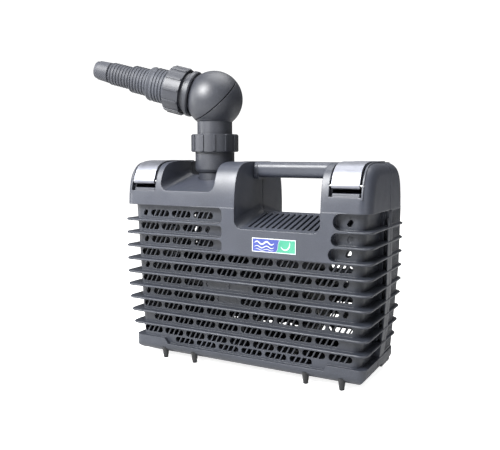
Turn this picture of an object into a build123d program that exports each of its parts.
from build123d import *
import math
import os

os.makedirs("parts", exist_ok=True)

# ---------------------------------------------------------------- driving dimensions (mm)
# Frame: X right, Y back, Z up, origin on the standing plane under the middle of the case.
top_z = 230.5                    # crown of the case and of the handle bar
shoulder_z = 163.5               # where the arched upper shell starts to curve in
shell_edge_z = 181.5             # lower edge of the smooth upper shell
shell_half_width = 148.0
shell_corner_r = 12.0
case_half_width = 150.0
case_half_depth = 59.4
arch_foot_z = 120.0
face_power = 6.0                 # exponents of the superellipse that the upper shell follows
crown_power = 3.0
skin = 3.0                       # moulded wall thickness

fin_pitch = 15.47
fin_count = 9
fin_thickness = 2.4
fin_corner_r = 9.0
first_fin_z = 163.5

wall_top = (141.0, 51.0)         # strainer wall half width and half depth at the shell edge
wall_bottom = (135.5, 46.0)      # the same at the base tray
wall_skin = 2.6

rear_wall_top = (148.0, 57.2)    # the rear half's wall stands further out, and is flush with its fins
rear_wall_middle = (147.6, 56.9)
rear_wall_middle_z = 117.0
rear_wall_bottom = (141.4, 49.4)
rear_wall_start = 13.0           # depth at which the rear wall steps out

tray_half_width = 143.5
tray_half_depth = 51.0
tray_bottom_z = 7.0
tray_top_z = 24.3
tray_round = 13.0
tray_notch = (-95.0, 99.0, 18.0)  # left end, right end and floor of the notch in the tray's front

seam_y = 7.4                     # parting plane above the step
foot_seam_y = -8.0               # parting plane below the step
seam_step_z = 42.0
seam_gap = 1.2
side_flange = (-2.0, 14.6)       # front and back of the flange down each side

pipe_x = -60.5                   # axis of the outlet
pipe_well = (-98.0, -27.0)
pipe_well_front_z = 198.2
pipe_well_ridge_z = 214.5
hand_well = (-1.0, 97.0)
hand_well_front_z = 160.3
hand_well_ridge_z = 175.0
well_corner_r = 9.0

fascia = (-16.3, 112.0, 132.6)   # left end, right end and lower edge of the front panel
pocket_starts = (110.4, 108.6, 105.8)

clip_x = 121.6                   # middle of each clip
clip_width = 28.8
clip_slot_width = 33.2
clip_slot_bottom_z = 197.5
clip_pivot = (-54.2, 208.6)
clip_thickness = 2.8
clip_tail_y = 26.0
barrel_r = 3.3
clip_pin_r = 1.25

slot_length = 25.6
slot_height = 7.6
end_slot_size = (7.8, 5.0)
blind_depth = 0.9                # depth of the closed windows
slot_pitch = 29.3
slot_shift = -1.35
slot_rib = 1.5
slot_rib_pitch = 6.4
slot_rib_lean = 28.0

well_slot_pitch = 6.9            # slots in the floor of the hand well
well_slot_width = 3.0
well_slot_count = 12
well_slot_inset = 13.5           # first slot, from the well's left wall
well_slot_rows = ((-28.0, 46.0), (32.0, 42.0))  # middle and length of the slots, front and rear
clip_window = (201.0, 207.0)     # bottom and top of the dark gap under each clip
clip_window_back = -44.0
flange_pocket = (144.4, 148.2)   # hollow in the flange's front face, between fins
vent_margin = 1.0
side_slit_start = 18.6           # slits in the sides of the rear half
side_slit_pitch = 4.2
side_slit_width = 2.2
side_slit_count = 8

hinge_y = foot_seam_y
hinge_z = 6.0
hinge_pin_r = 1.5
hinge_knuckle_r = 3.5
hinge_x = 86.0
knuckle_length = 12.0
running_gap = 0.05

ball_z = 302.2
ball_r = 32.8
ball_skin = 3.5
neck_r = 20.4
seam_azimuth = -128.3            # direction that the elbow's swivel plane faces
swivel_turn = 119.5              # how far the elbow's upper half is turned about the seam normal
collar_r = 22.9
union_r = 27.7
union_length = 20.4
union_z = 241.6
water_bore_r = 16.0

motor_z = 88.0
motor_r = 38.0
motor_left = -38.0
motor_right = 72.0

grommet_x = 98.0                 # cable outlet in the rear of the tray
grommet_z = 16.2
grommet_r = 5.6
cradle_screw_x = (-8.0, 44.0)
cradle_screw_y = (4.0, 30.0)
cradle_screw_r = 1.6


def row_z(row):
    """Height of fin number row, counted from 0 at the top; row 9 is the tray's edge."""
    return first_fin_z - fin_pitch * row


def fin_half_size(row):
    """Half width and half depth of the case outline at a fin, drawn in towards the tray."""
    half_width = case_half_width - 0.175 * max(row - 3, 0) ** 2
    half_depth = case_half_depth - 0.30 * max(row - 4, 0) ** 2
    return half_width, half_depth


def wall_half_depth(z):
    """Half depth of the sloping strainer wall at a height."""
    share = (z - tray_bottom_z) / (shell_edge_z - tray_bottom_z)
    return wall_bottom[1] + share * (wall_top[1] - wall_bottom[1])


def arch_outline(inset):
    """Closed side profile of the arched upper shell, drawn in by inset, in the current line block."""
    half_depth = case_half_depth - inset
    rise = top_z - shoulder_z - inset
    points = []
    steps = 16
    for i in range(steps + 1):
        turn = math.pi * i / steps
        run = abs(math.cos(turn)) ** (2 / face_power) * (-1 if i < steps / 2 else 1)
        lift = max(math.sin(turn), 0) ** (2 / crown_power)
        points.append((half_depth * run, shoulder_z + rise * lift))
    Spline(*points, tangents=[(0, 1), (0, -1)])
    Polyline(points[-1], (half_depth, arch_foot_z), (-half_depth, arch_foot_z), points[0])


def arch_block(inset, left, right):
    """Solid under the arch profile between two stations across the case."""
    with BuildPart() as block:
        with BuildSketch(Plane.YZ.offset(left)):
            with BuildLine():
                arch_outline(inset)
            make_face()
        extrude(amount=right - left)
    return block.part


def shell_block(inset, low_z):
    """The whole upper shell as a solid, drawn in by inset, its ends rounded all along the arch."""
    corner = shell_corner_r - inset
    straight = shell_half_width - shell_corner_r
    with BuildPart() as block:
        for angle in (0, 22.5, 45, 67.5, 90):
            turn = math.radians(angle)
            with BuildSketch(Plane.YZ.offset(straight + corner * math.sin(turn))):
                with BuildLine():
                    arch_outline(inset + corner * (1 - math.cos(turn)))
                make_face()
        loft()
        mirror(about=Plane.YZ)
        add(arch_block(inset, -straight, straight))
        with BuildSketch(Plane.XY.offset(low_z)):
            Rectangle(4 * shell_half_width, 4 * case_half_depth)
        extrude(amount=top_z, mode=Mode.INTERSECT)
    return block.part


def wall_block(inset, low_z, high_z):
    """Sloping strainer wall as a solid, drawn in by inset."""
    with BuildPart() as block:
        for z in (low_z, high_z):
            share = (z - tray_bottom_z) / (shell_edge_z - tray_bottom_z)
            half_width = wall_bottom[0] + share * (wall_top[0] - wall_bottom[0]) - inset
            half_depth = wall_half_depth(z) - inset
            with BuildSketch(Plane.XY.offset(z)):
                RectangleRounded(2 * half_width, 2 * half_depth, fin_corner_r - inset)
        loft()
    return block.part


def rear_wall_block(inset, low_z, high_z):
    """Outer wall of the rear half as a solid, drawn in by inset."""
    stations = (
        (tray_bottom_z, rear_wall_bottom),
        (rear_wall_middle_z, rear_wall_middle),
        (shell_edge_z + skin, rear_wall_top),
    )
    with BuildPart() as block:
        for z, (half_width, half_depth) in stations:
            with BuildSketch(Plane.XY.offset(z)):
                RectangleRounded(2 * (half_width - inset), 2 * (half_depth - inset), fin_corner_r - inset)
        loft(ruled=True)
        with BuildSketch(Plane.XY.offset(low_z)):
            with Locations((0, rear_wall_start + inset + case_half_depth)):
                Rectangle(4 * case_half_width, 2 * case_half_depth)
        extrude(amount=high_z - low_z, mode=Mode.INTERSECT)
    return block.part


def well_block(ends, front_z, ridge_z, inset):
    """Channel over the case: ramps rise from the front and rear lips to a ridge in the middle."""
    lip_y = case_half_depth - 2
    with BuildPart() as block:
        with BuildSketch(Plane.YZ.offset(ends[0] - inset)):
            with BuildLine():
                Polyline(
                    (-80, front_z - inset),
                    (-lip_y, front_z - inset),
                    (0, ridge_z - inset),
                    (lip_y, front_z - inset),
                    (80, front_z - inset),
                    (80, top_z + 30),
                    (-80, top_z + 30),
                    close=True,
                )
            make_face()
        extrude(amount=ends[1] - ends[0] + 2 * inset)
        low_edges = [
            edge
            for edge in block.edges()
            if edge.center().Z < ridge_z and abs(edge.tangent_at(0).X) < 0.1
        ]
        fillet(low_edges, radius=well_corner_r + inset)
    return block.part


def box_between(low, high):
    """Plain block between two corners."""
    with BuildPart() as block:
        with BuildSketch(Plane.XY.offset(low[2])):
            with Locations(((low[0] + high[0]) / 2, (low[1] + high[1]) / 2)):
                Rectangle(high[0] - low[0], high[1] - low[1])
        extrude(amount=high[2] - low[2])
    return block.part


def ring_x(left, right, outer_r, inner_r=0.0, y=0.0, z=motor_z):
    """Disc or ring lying along X on the motor's axis."""
    with BuildPart() as ring:
        with BuildSketch(Plane.YZ.offset(left)):
            with Locations((y, z)):
                Circle(outer_r)
                if inner_r > 0:
                    Circle(inner_r, mode=Mode.SUBTRACT)
        extrude(amount=right - left)
    return ring.part


def ring_on(plane, start, end, outer_r, inner_r=0.0):
    """Disc or ring on a plane's own axis, between two stations."""
    with BuildPart() as ring:
        with BuildSketch(plane.offset(start)):
            Circle(outer_r)
            if inner_r > 0:
                Circle(inner_r, mode=Mode.SUBTRACT)
        extrude(amount=end - start)
    return ring.part


# ---------------------------------------------------------------- case envelope, both halves together
with BuildPart() as tray_block:
    with BuildSketch(Plane.XY.offset(tray_bottom_z)):
        RectangleRounded(2 * tray_half_width, 2 * tray_half_depth, fin_corner_r)
    extrude(amount=tray_top_z - tray_bottom_z)
    with BuildSketch(Plane.XZ.offset(-100)):
        with Locations((0, tray_bottom_z + 50)):
            RectangleRounded(2 * tray_half_width, 100, tray_round)
    extrude(amount=200, mode=Mode.INTERSECT)
    with BuildSketch(Plane.YZ.offset(-200)):
        with Locations((0, tray_bottom_z + 50)):
            RectangleRounded(2 * tray_half_depth, 100, tray_round - 3)
    extrude(amount=400, mode=Mode.INTERSECT)
    with BuildSketch(Plane.XZ):
        with BuildLine():
            notch_left, notch_right, notch_z = tray_notch
            Polyline(
                (notch_left - 6, tray_top_z + 1),
                (notch_left, notch_z),
                (notch_right, notch_z),
                (notch_right + 4, tray_top_z + 1),
                close=True,
            )
        make_face()
    extrude(amount=100, both=True, mode=Mode.SUBTRACT)

with BuildPart() as fin_stack:
    for row in range(fin_count):
        half_width, half_depth = fin_half_size(row)
        with BuildSketch(Plane.XY.offset(row_z(row) - fin_thickness / 2)):
            RectangleRounded(2 * half_width, 2 * half_depth, fin_corner_r)
        extrude(amount=fin_thickness)
    rim_edges = [edge for edge in fin_stack.edges() if abs(edge.tangent_at(0.5).Z) < 0.1]
    chamfer(rim_edges, 0.7)

with BuildPart() as flange_block:
    with BuildSketch(Plane.XZ.offset(-side_flange[0])):
        with BuildLine():
            side_points = [(fin_half_size(row)[0] - 0.6, row_z(row)) for row in range(fin_count)]
            Polyline(
                (125, shell_edge_z + 1),
                (shell_half_width - 1, shell_edge_z + 1),
                *side_points,
                (tray_half_width - 0.5, tray_top_z),
                (tray_half_width - 0.5, tray_bottom_z + tray_round),
                (125, tray_bottom_z + tray_round),
                close=True,
            )
        make_face()
    extrude(amount=side_flange[0] - side_flange[1])
    mirror(about=Plane.YZ)

with BuildPart() as fascia_block:
    left_end, right_end, low_edge = fascia
    with BuildSketch(Plane.XZ):
        with Locations(((left_end + 125) / 2 - 20, (low_edge + shell_edge_z) / 2)):
            Rectangle(125 - left_end + 40, shell_edge_z - low_edge + 1)
        for row in range(3):
            pocket_low = row_z(row) + fin_thickness / 2
            pocket_high = row_z(row - 1) - fin_thickness / 2 if row else shell_edge_z
            height = pocket_high - pocket_low
            with Locations((left_end - 40, (pocket_low + pocket_high) / 2)):
                RectangleRounded(80, height, 4.5, mode=Mode.SUBTRACT)
            with Locations((pocket_starts[row] + 40, (pocket_low + pocket_high) / 2)):
                RectangleRounded(80, height, height / 2 - 0.3, mode=Mode.SUBTRACT)
    extrude(amount=case_half_depth, both=True)
    add(box_between((-200, -44, 100), (200, 44, 200)), mode=Mode.SUBTRACT)

with BuildPart() as case_both:
    add(shell_block(0, shell_edge_z))
    add(wall_block(0, tray_bottom_z + 3, shell_edge_z + 1))
    add(rear_wall_block(0, tray_bottom_z + skin, shell_edge_z + 1))
    add(fin_stack.part)
    add(tray_block.part)
    add(flange_block.part)
    add(fascia_block.part)
    add(wall_block(wall_skin, tray_bottom_z + skin, shell_edge_z + skin), mode=Mode.SUBTRACT)
    add(rear_wall_block(wall_skin, tray_top_z, shell_edge_z + skin), mode=Mode.SUBTRACT)
    add(shell_block(skin, shell_edge_z + skin), mode=Mode.SUBTRACT)
    for side in (-1, 1):
        back_of_panel = sorted((side * (case_half_depth - skin), side * 40))
        panel_low = (left_end + skin, back_of_panel[0], low_edge + 2.5)
        panel_high = (pocket_starts[2] - skin, back_of_panel[1], hand_well_front_z - skin)
        add(box_between(panel_low, panel_high), mode=Mode.SUBTRACT)

well_envelope = arch_block(0, -130, 130)
pipe_channel = well_block(pipe_well, pipe_well_front_z, pipe_well_ridge_z, 0)
hand_channel = well_block(hand_well, hand_well_front_z, hand_well_ridge_z, 0)
well_walls = (
    well_block(pipe_well, pipe_well_front_z, pipe_well_ridge_z, skin)
    + well_block(hand_well, hand_well_front_z, hand_well_ridge_z, skin)
) & well_envelope

# ---------------------------------------------------------------- clip slots let into the shell
slot_low = clip_slot_bottom_z
slot_depth = 5.4
cheek = 2.4
slot_skin = (arch_block(0, -140, 140) - arch_block(slot_depth + cheek, -141, 141))
slot_void = arch_block(-5, -140, 140) - arch_block(slot_depth, -141, 141)
ledge_skin = arch_block(2.4, -140, 140) - arch_block(slot_depth + 1, -141, 141)
slot_liners = []
slot_cuts = []
slot_ledges = []
for side in (-1, 1):
    middle = side * clip_x
    outer = clip_slot_width / 2 + cheek
    inner = clip_slot_width / 2
    tail = clip_tail_y + 1.5
    low = (middle - outer, -80, slot_low - cheek)
    slot_liners.append(slot_skin & box_between(low, (middle + outer, tail + cheek, 260)))
    low = (middle - inner, -80, slot_low)
    slot_cuts.append(slot_void & box_between(low, (middle + inner, tail, 260)))
    low = (middle - inner + 2.5, -80, slot_low)
    slot_ledges.append(ledge_skin & box_between(low, (middle + inner - 2.5, 0, slot_low + 3.2)))

# ---------------------------------------------------------------- slanted strainer openings
def slot_row(row, centres, blanks=()):
    """Obround windows of one row, crossed by slanted ribs, in the current sketch."""
    z = row_z(row) + fin_pitch / 2 + 0.4
    places = [(x, z) for i, x in enumerate(centres) if i not in blanks]
    with Locations(*places):
        SlotOverall(slot_length, slot_height)
    ribs = [(x + step * slot_rib_pitch, z) for x, z in places for step in (-1, 0, 1)]
    with Locations(*ribs):
        Rectangle(slot_rib, 2 * slot_height, rotation=-slot_rib_lean, mode=Mode.SUBTRACT)


def end_slot(row, x):
    """One single slanted opening at the end of a row, in the current sketch."""
    with Locations((x, row_z(row) + fin_pitch / 2 + 0.4)):
        SlotOverall(*end_slot_size, rotation=90 - slot_rib_lean)


even_centres = [slot_shift + slot_pitch * step for step in range(-4, 5)]
odd_centres = [slot_shift + slot_pitch * (step + 0.5) for step in range(-4, 4)]
end_centres = (odd_centres[0] - 20.2, odd_centres[-1] + 20.2)
left_odd = [x for x in odd_centres if x < fascia[0] - slot_length / 2]
left_even = [x for x in even_centres if x < fascia[0] - slot_length]

with BuildPart() as slot_cutter:
    with BuildSketch(Plane.XZ):
        slot_row(0, left_odd)
        end_slot(0, end_centres[0])
        slot_row(1, left_even)
        end_slot(1, left_even[-1] + 20.2)
        slot_row(2, left_odd)
        end_slot(2, end_centres[0])
        slot_row(3, even_centres)
        slot_row(4, odd_centres)
        end_slot(4, end_centres[0])
        end_slot(4, end_centres[1])
        slot_row(5, even_centres, blanks=(3, 4))
        slot_row(6, odd_centres, blanks=(3,))
        end_slot(6, end_centres[0])
        end_slot(6, end_centres[1])
        slot_row(7, even_centres)
        slot_row(8, odd_centres)
        slot_row(9, even_centres)
        end_slot(0, pocket_starts[0] + 15)
        end_slot(2, pocket_starts[2] + 18)
    extrude(amount=70, both=True)
    closed_windows = ((5, even_centres[3]), (5, even_centres[4]), (6, odd_centres[3]), (1, pocket_starts[1] + 17))
    for row, x in closed_windows:
        z = row_z(row) + fin_pitch / 2 + 0.4
        with BuildSketch(Plane.XZ.offset(wall_half_depth(z) - blind_depth)):
            with Locations((x, z)):
                if row == 1:
                    SlotOverall(*end_slot_size, rotation=90 - slot_rib_lean)
                else:
                    SlotOverall(slot_length, slot_height - 1)
        extrude(amount=10)
    with BuildSketch(Plane.XZ.offset(30)):
        low_z = tray_notch[2] + 5.6
        low_places = [(x, low_z) for x in odd_centres[1:7]]
        with Locations(*low_places):
            SlotOverall(slot_length, slot_height - 1)
        low_ribs = [(x + step * slot_rib_pitch, z) for x, z in low_places for step in (-1, 0, 1)]
        with Locations(*low_ribs):
            Rectangle(slot_rib, 2 * slot_height, rotation=-slot_rib_lean, mode=Mode.SUBTRACT)
    extrude(amount=40)

with BuildPart() as side_vents:
    for row in range(fin_count + 1):
        draw_in = case_half_width - fin_half_size(row)[0]
        low = row_z(row) + fin_thickness / 2 + vent_margin
        high = row_z(row - 1) - fin_thickness / 2 - vent_margin if row else shell_edge_z - vent_margin
        if row < fin_count:
            pocket_low = (flange_pocket[0] - draw_in, side_flange[0] - 1, low)
            add(box_between(pocket_low, (flange_pocket[1] - draw_in, seam_y - 3.4, high)))
        slit_y = [side_slit_start + side_slit_pitch * i for i in range(side_slit_count)]
        slit_places = [(y, (low + high) / 2) for y in slit_y]
        with BuildSketch(Plane.YZ.offset(tray_half_width - 12)):
            with Locations(*slit_places):
                Rectangle(side_slit_width, high - low - vent_margin)
        extrude(amount=24)
    mirror(about=Plane.YZ)

with BuildPart() as well_slots:
    slot_x = [hand_well[0] + well_slot_inset + well_slot_pitch * i for i in range(well_slot_count)]
    with BuildSketch(Plane.XY.offset(hand_well_front_z - 4 * skin)):
        for slot_middle, length in well_slot_rows:
            with Locations(*[(x, slot_middle) for x in slot_x]):
                SlotOverall(length, well_slot_width, rotation=90)
    extrude(amount=15 * skin)

# ---------------------------------------------------------------- dark gaps under the clips
with BuildPart() as clip_windows:
    for side in (-1, 1):
        middle = side * clip_x
        half = clip_slot_width / 2 - 1.5
        window_low = (middle - half, -case_half_depth, clip_window[0])
        add(box_between(window_low, (middle + half, clip_window_back, clip_window[1])))

# ---------------------------------------------------------------- feet
front_foot_x = (-101.5, -61.0, 78.0, 118.0)
foot_y = 46.8
foot_height = 13.0
centre_foot_r = 7.0


with BuildPart() as feet_front:
    for x in front_foot_x:
        with BuildSketch(Plane.XY):
            with Locations((x, -foot_y)):
                Circle(2.6)
        with BuildSketch(Plane.XY.offset(foot_height)):
            with Locations((x, -foot_y)):
                Circle(4.2)
        loft()

with BuildPart() as feet_rear:
    for x in front_foot_x:
        with BuildSketch(Plane.XY):
            with Locations((x, foot_y)):
                Circle(2.6)
        with BuildSketch(Plane.XY.offset(foot_height)):
            with Locations((x, foot_y)):
                Circle(4.2)
        loft()
    with BuildSketch(Plane.XY):
        Circle(centre_foot_r)
    extrude(amount=tray_bottom_z + 1)

# ---------------------------------------------------------------- the two case halves
front_y = foot_seam_y - seam_gap / 2
rear_y = foot_seam_y + seam_gap / 2
with BuildPart() as front_region:
    with BuildSketch(Plane.YZ.offset(-200)):
        with BuildLine():
            Polyline(
                (-150, -10),
                (front_y, -10),
                (front_y, seam_step_z + seam_gap / 2),
                (seam_y - seam_gap / 2, seam_step_z + seam_gap / 2),
                (seam_y - seam_gap / 2, 300),
                (-150, 300),
                close=True,
            )
        make_face()
    extrude(amount=400)

with BuildPart() as rear_region:
    with BuildSketch(Plane.YZ.offset(-200)):
        with BuildLine():
            Polyline(
                (150, -10),
                (rear_y, -10),
                (rear_y, seam_step_z - seam_gap / 2),
                (seam_y + seam_gap / 2, seam_step_z - seam_gap / 2),
                (seam_y + seam_gap / 2, 300),
                (150, 300),
                close=True,
            )
        make_face()
    extrude(amount=400)


def knuckle(x, length, radius):
    """Round hinge knuckle or the space for one."""
    return ring_x(x - length / 2, x + length / 2, radius, y=hinge_y, z=hinge_z)


pipe_hole_r = 19.6
pipe_slot = box_between((pipe_x - pipe_hole_r, 0, 180), (pipe_x + pipe_hole_r, 10, 225))
with BuildPart() as pipe_hole:
    with BuildSketch(Plane.XY.offset(180)):
        with Locations((pipe_x, 0)):
            Circle(pipe_hole_r)
    extrude(amount=45)

with BuildPart() as case_detailed:
    add(case_both.part)
    add(well_walls)
    add(pipe_channel, mode=Mode.SUBTRACT)
    add(hand_channel, mode=Mode.SUBTRACT)
    for liner in slot_liners:
        add(liner)
    for cut in slot_cuts:
        add(cut, mode=Mode.SUBTRACT)
    for ledge in slot_ledges:
        add(ledge)
    add(pipe_hole.part, mode=Mode.SUBTRACT)

pin_reach = clip_slot_width / 2 + cheek - 0.4
with BuildPart() as clip_pins:
    for side in (-1, 1):
        middle = side * clip_x
        add(ring_x(middle - pin_reach, middle + pin_reach, clip_pin_r, y=clip_pivot[0], z=clip_pivot[1]))
clip_pins.part.label = "clip_pins"
export_step(clip_pins.part, "parts/clip_pins.step")

# The smooth shell with its wells and front panel is one moulding, the slotted cage below it another.
with BuildPart() as shell_zone:
    add(box_between((-200, -100, shell_edge_z - 0.5), (200, 100, 300)))
    zone_low = (hand_well[0] - skin - 0.4, -100, hand_well_front_z - skin - 1.8)
    add(box_between(zone_low, (hand_well[1] + skin + 0.4, 100, shell_edge_z)))
    for side in (-1, 1):
        near, far = sorted((side * 40, side * 100))
        add(box_between((left_end - 5.2, near, low_edge - 1.6), (right_end, far, shell_edge_z)))

with BuildPart() as front_half:
    add(case_detailed.part)
    add(front_region.part, mode=Mode.INTERSECT)
    add(clip_pins.part, mode=Mode.SUBTRACT)
    add(pipe_slot, mode=Mode.SUBTRACT)
    add(feet_front.part, mode=Mode.SUBTRACT)
    for side in (-1, 1):
        middle = side * hinge_x
        add(knuckle(middle, 2 * knuckle_length + 2, hinge_knuckle_r + 0.5), mode=Mode.SUBTRACT)
        add(knuckle(middle - knuckle_length / 2, knuckle_length - 0.6, hinge_knuckle_r))
        arm_low = (middle - knuckle_length + 0.3, hinge_y - 9, tray_bottom_z)
        arm_high = (middle - 0.3, hinge_y, tray_bottom_z + skin - 0.6)
        add(box_between(arm_low, arm_high))
        add(knuckle(middle, 2 * knuckle_length, hinge_pin_r + running_gap), mode=Mode.SUBTRACT)

with BuildPart() as rear_half:
    add(case_detailed.part)
    add(rear_region.part, mode=Mode.INTERSECT)
    add(feet_rear.part, mode=Mode.SUBTRACT)
    for side in (-1, 1):
        middle = side * hinge_x
        add(knuckle(middle, 2 * knuckle_length + 2, hinge_knuckle_r + 0.5), mode=Mode.SUBTRACT)
        add(knuckle(middle + knuckle_length / 2, knuckle_length - 0.6, hinge_knuckle_r))
        arm_low = (middle + 0.3, hinge_y, tray_bottom_z)
        arm_high = (middle + knuckle_length - 0.3, hinge_y + 9, tray_bottom_z + skin - 0.6)
        add(box_between(arm_low, arm_high))
        add(knuckle(middle, 2 * knuckle_length, hinge_pin_r), mode=Mode.SUBTRACT)
    for peg_x in (hand_well[0] - skin / 2 - 0.8, hand_well[1] + skin / 2 + 0.8):
        add(box_between((peg_x - 3, 9, 217), (peg_x + 3, 14, 227)), mode=Mode.SUBTRACT)
    with BuildSketch(Plane.XZ.offset(-60)):
        with Locations((grommet_x, grommet_z)):
            Circle(grommet_r)
    extrude(amount=25, mode=Mode.SUBTRACT)
    for x in cradle_screw_x:
        for y in cradle_screw_y:
            with BuildSketch(Plane.XY.offset(tray_bottom_z)):
                with Locations((x, y)):
                    Circle(cradle_screw_r)
            extrude(amount=skin, mode=Mode.SUBTRACT)

with BuildPart() as front_shell:
    add(front_half.part)
    add(shell_zone.part, mode=Mode.INTERSECT)
    add(clip_windows.part, mode=Mode.SUBTRACT)
    add(well_slots.part, mode=Mode.SUBTRACT)
front_shell.part.label = "front_shell"
export_step(front_shell.part, "parts/front_shell.step")

with BuildPart() as front_cage:
    add(front_half.part)
    add(shell_zone.part, mode=Mode.SUBTRACT)
    add(side_vents.part, mode=Mode.SUBTRACT)
    add(slot_cutter.part, mode=Mode.SUBTRACT)
front_cage.part.label = "front_cage"
export_step(front_cage.part, "parts/front_cage.step")

with BuildPart() as rear_shell:
    add(rear_half.part)
    add(shell_zone.part, mode=Mode.INTERSECT)
    add(well_slots.part, mode=Mode.SUBTRACT)
rear_shell.part.label = "rear_shell"
export_step(rear_shell.part, "parts/rear_shell.step")

with BuildPart() as rear_cage:
    add(rear_half.part)
    add(shell_zone.part, mode=Mode.SUBTRACT)
    add(side_vents.part, mode=Mode.SUBTRACT)
    add(slot_cutter.part, mode=Mode.SUBTRACT)
rear_cage.part.label = "rear_cage"
export_step(rear_cage.part, "parts/rear_cage.step")

feet_front.part.label = "feet_front"
export_step(feet_front.part, "parts/feet_front.step")
feet_rear.part.label = "feet_rear"
export_step(feet_rear.part, "parts/feet_rear.step")

with BuildPart() as hinge_pins:
    for side in (-1, 1):
        add(knuckle(side * hinge_x, 2 * knuckle_length, hinge_pin_r))
hinge_pins.part.label = "hinge_pins"
export_step(hinge_pins.part, "parts/hinge_pins.step")

# ---------------------------------------------------------------- clips over the top of the case
strap_lift = 1.0
strap_band = arch_block(-strap_lift, -160, 160) - arch_block(clip_thickness - strap_lift, -161, 161)
for side, name in ((-1, "clip_left"), (1, "clip_right")):
    middle = side * clip_x
    low = (middle - clip_width / 2, -80, clip_pivot[1])
    high = (middle + clip_width / 2, clip_tail_y, 260)
    strap_piece = strap_band & box_between(low, high)
    with BuildPart() as clip:
        add(strap_piece)
        add(ring_x(low[0], high[0], barrel_r, y=clip_pivot[0], z=clip_pivot[1]))
        add(
            ring_x(low[0] - 1, high[0] + 1, clip_pin_r + running_gap, y=clip_pivot[0], z=clip_pivot[1]),
            mode=Mode.SUBTRACT,
        )
    clip.part.label = name
    export_step(clip.part, f"parts/{name}.step")

# ---------------------------------------------------------------- label plate and handle bar
label_low = (21.3, -case_half_depth - 0.6, 137.8)
label_high = (71.3, -case_half_depth, 152.4)
with BuildPart() as label_plate:
    add(box_between(label_low, label_high))
label_plate.part.label = "label_plate"
export_step(label_plate.part, "parts/label_plate.step")

bar_left = hand_well[0] + 0.4
bar_right = hand_well[1] - 0.4
with BuildPart() as handle_bar:
    with BuildSketch(Plane.YZ.offset(bar_left)):
        with Locations((0, 221.85)):
            RectangleRounded(31, 17.3, 6.5)
    extrude(amount=bar_right - bar_left)
    for left in (bar_left, bar_right - 4.5):
        with BuildSketch(Plane.YZ.offset(left)):
            with Locations((0, 221.0)):
                RectangleRounded(33, 19.0, 7.0)
        extrude(amount=4.5)
    for left, right in ((hand_well[0] - skin - 0.4, bar_left), (bar_right, hand_well[1] + skin + 0.4)):
        add(box_between((left, 9.1, 217.1), (right, 13.9, 226.9)))
handle_bar.part.label = "handle_bar"
export_step(handle_bar.part, "parts/handle_bar.step")

# ---------------------------------------------------------------- pump unit inside the case
cover_x = -90.2
chamber_left = -86.0
chamber_right = motor_left
chamber_r = 42.0
chamber_inner_r = 38.0
chamber_neck_r = 22.0
with BuildPart() as pump_chamber:
    add(ring_x(chamber_left, chamber_right, chamber_r))
    with BuildSketch(Plane.XY.offset(motor_z)):
        with Locations((pipe_x, 0)):
            Circle(chamber_neck_r)
    extrude(amount=50)
    add(ring_x(chamber_left, chamber_right - 4, chamber_inner_r), mode=Mode.SUBTRACT)
    add(ring_x(chamber_right - 4, chamber_right, 7.0), mode=Mode.SUBTRACT)
    with BuildSketch(Plane.XY.offset(motor_z)):
        with Locations((pipe_x, 0)):
            Circle(water_bore_r)
    extrude(amount=50, mode=Mode.SUBTRACT)
    with BuildSketch(Plane.XY.offset(motor_z + 41)):
        with Locations((pipe_x, 0)):
            Circle(19)
    extrude(amount=9, mode=Mode.SUBTRACT)
pump_chamber.part.label = "pump_chamber"
export_step(pump_chamber.part, "parts/pump_chamber.step")

with BuildPart() as chamber_gasket:
    add(ring_x(chamber_left - 1.2, chamber_left, 41.0, 38.6))
chamber_gasket.part.label = "chamber_gasket"
export_step(chamber_gasket.part, "parts/chamber_gasket.step")

inlet_r = 14.0
with BuildPart() as chamber_cover:
    add(ring_x(cover_x - 3, cover_x + 3, 44.0, inlet_r))
    add(ring_x(cover_x - 12, cover_x - 3, inlet_r + 3, inlet_r))
    add(ring_x(chamber_left - 1.2, cover_x + 4, 44.5), mode=Mode.SUBTRACT)
    for turn in range(0, 180, 60):
        with BuildSketch(Plane.YZ.offset(cover_x - 3)):
            with Locations((0, motor_z)):
                Rectangle(2 * inlet_r, 2, rotation=turn)
        extrude(amount=3)
    with BuildSketch(Plane.YZ.offset(cover_x - 3)):
        with Locations((0, motor_z)):
            Circle(6)
    extrude(amount=3)
    add(ring_x(cover_x - 1, cover_x + 4, 3 + running_gap), mode=Mode.SUBTRACT)
chamber_cover.part.label = "chamber_cover"
export_step(chamber_cover.part, "parts/chamber_cover.step")

impeller_r = 33.0
vane_count = 6
with BuildPart() as impeller:
    add(ring_x(-60, -57.5, impeller_r))
    add(ring_x(-80, -57.5, 8.5))
    for vane in range(vane_count):
        with BuildSketch(Plane.YZ.offset(-78)):
            with Locations((0, motor_z)):
                with PolarLocations(impeller_r / 2 + 2, 1, vane * 360 / vane_count):
                    Rectangle(impeller_r - 4, 2.4)
        extrude(amount=18)
    add(ring_x(-78, -57, impeller_r + 5, impeller_r), mode=Mode.SUBTRACT)
    add(ring_x(-81, -57, 3.0), mode=Mode.SUBTRACT)
impeller.part.label = "impeller"
export_step(impeller.part, "parts/impeller.step")

shaft_right = 42.0
with BuildPart() as rotor_shaft:
    add(ring_x(cover_x - 0.6, shaft_right, 3.0))
rotor_shaft.part.label = "rotor_shaft"
export_step(rotor_shaft.part, "parts/rotor_shaft.step")

with BuildPart() as rotor_magnet:
    add(ring_x(-30, 30, 14.5, 3.0))
rotor_magnet.part.label = "rotor_magnet"
export_step(rotor_magnet.part, "parts/rotor_magnet.step")

for left, name in ((-41.0, "bearing_front"), (32.0, "bearing_rear")):
    with BuildPart() as bearing:
        add(ring_x(left, left + 8, 7.0, 3.0 + running_gap))
    bearing.part.label = name
    export_step(bearing.part, f"parts/{name}.step")

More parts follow.
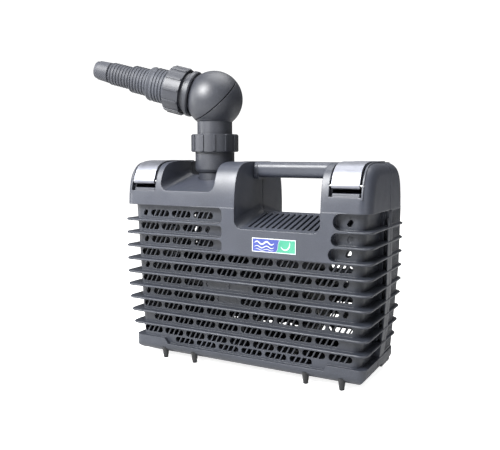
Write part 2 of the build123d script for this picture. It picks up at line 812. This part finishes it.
with BuildPart() as rotor_can:
    add(ring_x(motor_left, 45, 16.7, 15.5))
    add(ring_x(32, 40, 16.7, 7.0))
    add(ring_x(43, 45, 16.7))
    add(ring_x(motor_left, motor_left + 2, 34.0, 15.5))
rotor_can.part.label = "rotor_can"
export_step(rotor_can.part, "parts/rotor_can.step")

stator_slots = 6
with BuildPart() as stator_pack:
    add(ring_x(-28, 34, 33.6, 17.0))
    for slot in range(stator_slots):
        with BuildSketch(Plane.YZ.offset(-28)):
            with Locations((0, motor_z)):
                with PolarLocations(24.5, 1, slot * 360 / stator_slots):
                    SlotOverall(10, 6)
        extrude(amount=62, mode=Mode.SUBTRACT)
stator_pack.part.label = "stator_pack"
export_step(stator_pack.part, "parts/stator_pack.step")

with BuildPart() as motor_housing:
    add(ring_x(motor_left, motor_right, motor_r, 34.2))
    for station in (-30, -10, 10, 30, 50):
        add(ring_x(station, station + 3, motor_r + 1.4, motor_r - 1))
motor_housing.part.label = "motor_housing"
export_step(motor_housing.part, "parts/motor_housing.step")

gland_z = motor_z + 18
with BuildPart() as motor_end_cap:
    add(ring_x(motor_right, motor_right + 5, motor_r))
    add(ring_x(motor_right - 6, motor_right, 34.0, 30.0))
    add(ring_x(motor_right - 1, motor_right + 6, 4.0, z=gland_z), mode=Mode.SUBTRACT)
    for turn in (45, 135, 225, 315):
        spot_y = 26 * math.cos(math.radians(turn))
        spot_z = motor_z + 26 * math.sin(math.radians(turn))
        add(ring_x(motor_right + 1, motor_right + 6, 1.6, y=spot_y, z=spot_z), mode=Mode.SUBTRACT)
motor_end_cap.part.label = "motor_end_cap"
export_step(motor_end_cap.part, "parts/motor_end_cap.step")

with BuildPart() as end_cap_screws:
    for turn in (45, 135, 225, 315):
        spot_y = 26 * math.cos(math.radians(turn))
        spot_z = motor_z + 26 * math.sin(math.radians(turn))
        add(ring_x(motor_right + 1, motor_right + 5, 1.6, y=spot_y, z=spot_z))
        add(ring_x(motor_right + 5, motor_right + 7.2, 3.2, y=spot_y, z=spot_z))
        add(ring_x(motor_right + 6, motor_right + 8, 1.4, y=spot_y, z=spot_z), mode=Mode.SUBTRACT)
end_cap_screws.part.label = "end_cap_screws"
export_step(end_cap_screws.part, "parts/end_cap_screws.step")

with BuildPart() as cable_gland:
    with BuildSketch(Plane.YZ.offset(motor_right + 5)):
        with Locations((0, gland_z)):
            RegularPolygon(9.5, 6)
    extrude(amount=7)
    add(ring_x(motor_right + 12, motor_right + 22, 7.0, z=gland_z))
    add(ring_x(motor_right + 4, motor_right + 23, 4.0, z=gland_z), mode=Mode.SUBTRACT)
cable_gland.part.label = "cable_gland"
export_step(cable_gland.part, "parts/cable_gland.step")

with BuildPart() as cable_grommet:
    with BuildSketch(Plane.XZ.offset(-tray_half_depth + 11)):
        with Locations((grommet_x, grommet_z)):
            Circle(grommet_r)
            Circle(3.8, mode=Mode.SUBTRACT)
    extrude(amount=-11)
    with BuildSketch(Plane.XZ.offset(-tray_half_depth)):
        with Locations((grommet_x, grommet_z)):
            Circle(grommet_r + 2)
            Circle(3.8, mode=Mode.SUBTRACT)
    extrude(amount=-1.6)
cable_grommet.part.label = "cable_grommet"
export_step(cable_grommet.part, "parts/cable_grommet.step")

floor_z = tray_bottom_z + skin
pad_thickness = 1.6
cradle_seat_r = motor_r + pad_thickness
cradle_stations = (-24.0, 16.0, 56.0)
with BuildPart() as motor_cradle:
    add(box_between((-32, -6.5, floor_z), (66, 38, floor_z + 3)))
    for station in cradle_stations[::2]:
        add(box_between((station, -6.5, floor_z), (station + 6, 38, motor_z - 6)))
        add(ring_x(station - 1, station + 7, cradle_seat_r), mode=Mode.SUBTRACT)
    for x in cradle_screw_x:
        for y in cradle_screw_y:
            with BuildSketch(Plane.XY.offset(floor_z - 1)):
                with Locations((x, y)):
                    Circle(cradle_screw_r)
            extrude(amount=6, mode=Mode.SUBTRACT)
motor_cradle.part.label = "motor_cradle"
export_step(motor_cradle.part, "parts/motor_cradle.step")

with BuildPart() as rubber_mounts:
    for station in cradle_stations[::2]:
        add(ring_x(station, station + 6, cradle_seat_r, motor_r))
    add(box_between((-60, -60, 0), (90, -6.5, 200)), mode=Mode.SUBTRACT)
    add(box_between((-60, -60, motor_z - 6), (90, 60, 200)), mode=Mode.SUBTRACT)
rubber_mounts.part.label = "rubber_mounts"
export_step(rubber_mounts.part, "parts/rubber_mounts.step")

with BuildPart() as cradle_screws:
    for x in cradle_screw_x:
        for y in cradle_screw_y:
            with BuildSketch(Plane.XY.offset(tray_bottom_z + 0.5)):
                with Locations((x, y)):
                    Circle(cradle_screw_r)
            extrude(amount=skin + 2.5)
            with BuildSketch(Plane.XY.offset(floor_z + 3)):
                with Locations((x, y)):
                    Circle(3.2)
            extrude(amount=2.2)
            with BuildSketch(Plane.XY.offset(floor_z + 4.2)):
                with Locations((x, y)):
                    RegularPolygon(1.5, 6)
            extrude(amount=2, mode=Mode.SUBTRACT)
cradle_screws.part.label = "cradle_screws"
export_step(cradle_screws.part, "parts/cradle_screws.step")

# ---------------------------------------------------------------- outlet pipe, unions, elbow and hosetail
pipe_bottom_z = motor_z + 41
spigot_top_z = union_z + 12.4
seal_thickness = 2.0
foot_flange_r = 23.5
spigot_r = 24.0
nut_bore_r = 24.5
lip_thickness = 2.4
thread_ridges = 3

with BuildPart() as outlet_pipe:
    with BuildSketch(Plane.XZ):
        with BuildLine():
            Polyline(
                (pipe_x + water_bore_r, pipe_bottom_z),
                (pipe_x + 19, pipe_bottom_z),
                (pipe_x + 19, 217.2),
                (pipe_x + collar_r - 1.8, 218.6),
                (pipe_x + collar_r, 221.4),
                (pipe_x + collar_r, union_z - 0.4),
                (pipe_x + spigot_r - 0.8, union_z - 0.4),
                (pipe_x + spigot_r - 0.8, spigot_top_z),
                (pipe_x + water_bore_r, spigot_top_z),
                close=True,
            )
        make_face()
    revolve(axis=Axis((pipe_x, 0, 0), (0, 0, 1)))
    for ridge in range(thread_ridges):
        with BuildSketch(Plane.XY.offset(union_z + 1.5 + 3.4 * ridge)):
            with Locations((pipe_x, 0)):
                Circle(spigot_r)
                Circle(spigot_r - 2, mode=Mode.SUBTRACT)
        extrude(amount=1.6)
outlet_pipe.part.label = "outlet_pipe"
export_step(outlet_pipe.part, "parts/outlet_pipe.step")

with BuildPart() as outlet_seal:
    with BuildSketch(Plane.XY.offset(spigot_top_z)):
        with Locations((pipe_x, 0)):
            Circle(22.0)
            Circle(water_bore_r + 0.5, mode=Mode.SUBTRACT)
    extrude(amount=seal_thickness)
outlet_seal.part.label = "outlet_seal"
export_step(outlet_seal.part, "parts/outlet_seal.step")

ball_centre = Vector(pipe_x, 0, ball_z)
azimuth = math.radians(seam_azimuth)
half_turn = math.radians(45)
seam_normal = Vector(
    math.sin(half_turn) * math.cos(azimuth),
    math.sin(half_turn) * math.sin(azimuth),
    math.cos(half_turn),
)
arm_direction = Vector(0, 0, 1).rotate(Axis((0, 0, 0), seam_normal), swivel_turn)
seam_plane = Plane(origin=ball_centre, z_dir=seam_normal)
arm_plane = Plane(origin=ball_centre, z_dir=arm_direction)
neck_plane = Plane(origin=ball_centre)
foot_station = spigot_top_z + seal_thickness + 0.3 - ball_z
flange_thickness = 3.2
neck_station = -24.0             # the neck is a ring of its own below this station

with BuildPart() as elbow_base:
    with Locations(ball_centre):
        Sphere(ball_r)
    add(ring_on(neck_plane, foot_station, -ball_r / 2, neck_r))
    add(ring_on(neck_plane, foot_station, foot_station + flange_thickness, foot_flange_r))
    with Locations(ball_centre):
        Sphere(ball_r - ball_skin, mode=Mode.SUBTRACT)
    add(ring_on(neck_plane, foot_station - 1, 0, water_bore_r), mode=Mode.SUBTRACT)
    split(bisect_by=seam_plane.offset(-seam_gap / 2), keep=Keep.BOTTOM)

with BuildPart() as elbow_neck:
    add(elbow_base.part)
    split(bisect_by=neck_plane.offset(neck_station), keep=Keep.BOTTOM)
elbow_neck.part.label = "elbow_neck"
export_step(elbow_neck.part, "parts/elbow_neck.step")

with BuildPart() as elbow_lower:
    add(elbow_base.part)
    split(bisect_by=neck_plane.offset(neck_station), keep=Keep.TOP)
elbow_lower.part.label = "elbow_lower"
export_step(elbow_lower.part, "parts/elbow_lower.step")

arm_flange_r = 26.6
arm_spigot = (36.3, 47.0)
with BuildPart() as elbow_upper:
    with Locations(ball_centre):
        Sphere(ball_r)
    add(ring_on(arm_plane, ball_r / 2, 32.0, 22.0))
    with BuildSketch(arm_plane.offset(24.5)):
        Circle(arm_flange_r - 1.2)
    with BuildSketch(arm_plane.offset(26.0)):
        Circle(arm_flange_r)
    loft()
    add(ring_on(arm_plane, 26.0, 29.4, arm_flange_r))
    add(ring_on(arm_plane, 29.4, 31.2, arm_flange_r - 2.2))
    add(ring_on(arm_plane, 31.2, arm_spigot[1], spigot_r - 0.8))
    for ridge in range(thread_ridges):
        start = arm_spigot[0] + 1 + 3.2 * ridge
        add(ring_on(arm_plane, start, start + 1.6, spigot_r, spigot_r - 2))
    with Locations(ball_centre):
        Sphere(ball_r - ball_skin, mode=Mode.SUBTRACT)
    add(ring_on(arm_plane, 0, arm_spigot[1] + 1, water_bore_r), mode=Mode.SUBTRACT)
    split(bisect_by=seam_plane.offset(seam_gap / 2), keep=Keep.TOP)
    add(ring_on(seam_plane, -3.6, 9.0, 28.4, 26.4))
    add(ring_on(arm_plane, 8, arm_spigot[1] + 1, water_bore_r), mode=Mode.SUBTRACT)
elbow_upper.part.label = "elbow_upper"
export_step(elbow_upper.part, "parts/elbow_upper.step")

with BuildPart() as arm_seal:
    add(ring_on(arm_plane, arm_spigot[1], arm_spigot[1] + seal_thickness, 22.0, water_bore_r + 0.5))
arm_seal.part.label = "arm_seal"
export_step(arm_seal.part, "parts/arm_seal.step")

nut_rib_count = 12
nut_rib_width = 2.6
nut_core_r = union_r - 1.0


def union_nut(plane, pipe_r):
    """Ribbed union nut on a plane's axis, its open end at the plane and a lip at the far end."""
    with BuildPart() as blank:
        with BuildSketch(plane):
            Circle(union_r)
        extrude(amount=union_length)
        chamfer(blank.edges(), 1.3)
    with BuildPart() as nut:
        with BuildSketch(plane):
            Circle(nut_core_r)
            with PolarLocations(nut_core_r, nut_rib_count):
                Rectangle(3.0, nut_rib_width)
        extrude(amount=union_length)
        add(blank.part, mode=Mode.INTERSECT)
        with BuildSketch(plane):
            Circle(nut_bore_r)
        extrude(amount=union_length - lip_thickness, mode=Mode.SUBTRACT)
        with BuildSketch(plane):
            Circle(pipe_r)
        extrude(amount=union_length, mode=Mode.SUBTRACT)
    return nut.part


lower_nut_plane = Plane(origin=(pipe_x, 0, union_z))
lower_nut = union_nut(lower_nut_plane, neck_r + 0.3)
lower_nut.label = "lower_union_nut"
export_step(lower_nut, "parts/lower_union_nut.step")

upper_nut = union_nut(arm_plane.offset(35.6), 20.15 + 0.35)
upper_nut.label = "upper_union_nut"
export_step(upper_nut, "parts/upper_union_nut.step")

tail_start = arm_spigot[1] + seal_thickness + 0.3
tail_steps = ((83.0, 20.15), (107.5, 16.2), (136.5, 13.45))
tail_nose = 156.5
tail_bore_r = 9.5
ridge_pitch = 4.0
ridge_height = 0.8


def tail_outline():
    """Outer profile points of the stepped hosetail: station along the arm, then radius."""
    points = [(tail_start, foot_flange_r), (tail_start + flange_thickness, foot_flange_r)]
    station = tail_start + flange_thickness
    points.append((station, tail_steps[0][1] - ridge_height))
    station = 56.6
    for end, radius in tail_steps:
        points.append((station, radius - ridge_height))
        ridges = int((end - station - 3) / ridge_pitch)
        for ridge in range(ridges):
            foot = station + ridge_pitch * ridge
            points.append((foot + 0.8, radius))
            points.append((foot + 1.6, radius))
            points.append((foot + ridge_pitch, radius - ridge_height))
        points.append((end - 3.2, radius))
        points.append((end - 1.4, radius - 0.6))
        points.append((end, radius - 3.0))
        station = end + 0.6
    nose_r = tail_steps[-1][1] - 1.2
    points.append((station + 1.0, nose_r))
    points.append((tail_nose - 4.0, nose_r - 0.9))
    points.append((tail_nose - 1.2, nose_r - 2.0))
    points.append((tail_nose, nose_r - 4.0 if nose_r - 4.0 > tail_bore_r else tail_bore_r + 0.6))
    return points


with BuildPart() as hosetail:
    section = Plane(origin=ball_centre, x_dir=arm_direction, z_dir=arm_plane.x_dir)
    with BuildSketch(section):
        with BuildLine():
            Polyline(
                (tail_start, water_bore_r),
                *tail_outline(),
                (tail_nose, tail_bore_r),
                (tail_steps[0][0], tail_bore_r),
                (tail_steps[0][0] - 12, water_bore_r),
                close=True,
            )
        make_face()
    revolve(axis=Axis(ball_centre, arm_direction))
hosetail.part.label = "hosetail"
export_step(hosetail.part, "parts/hosetail.step")
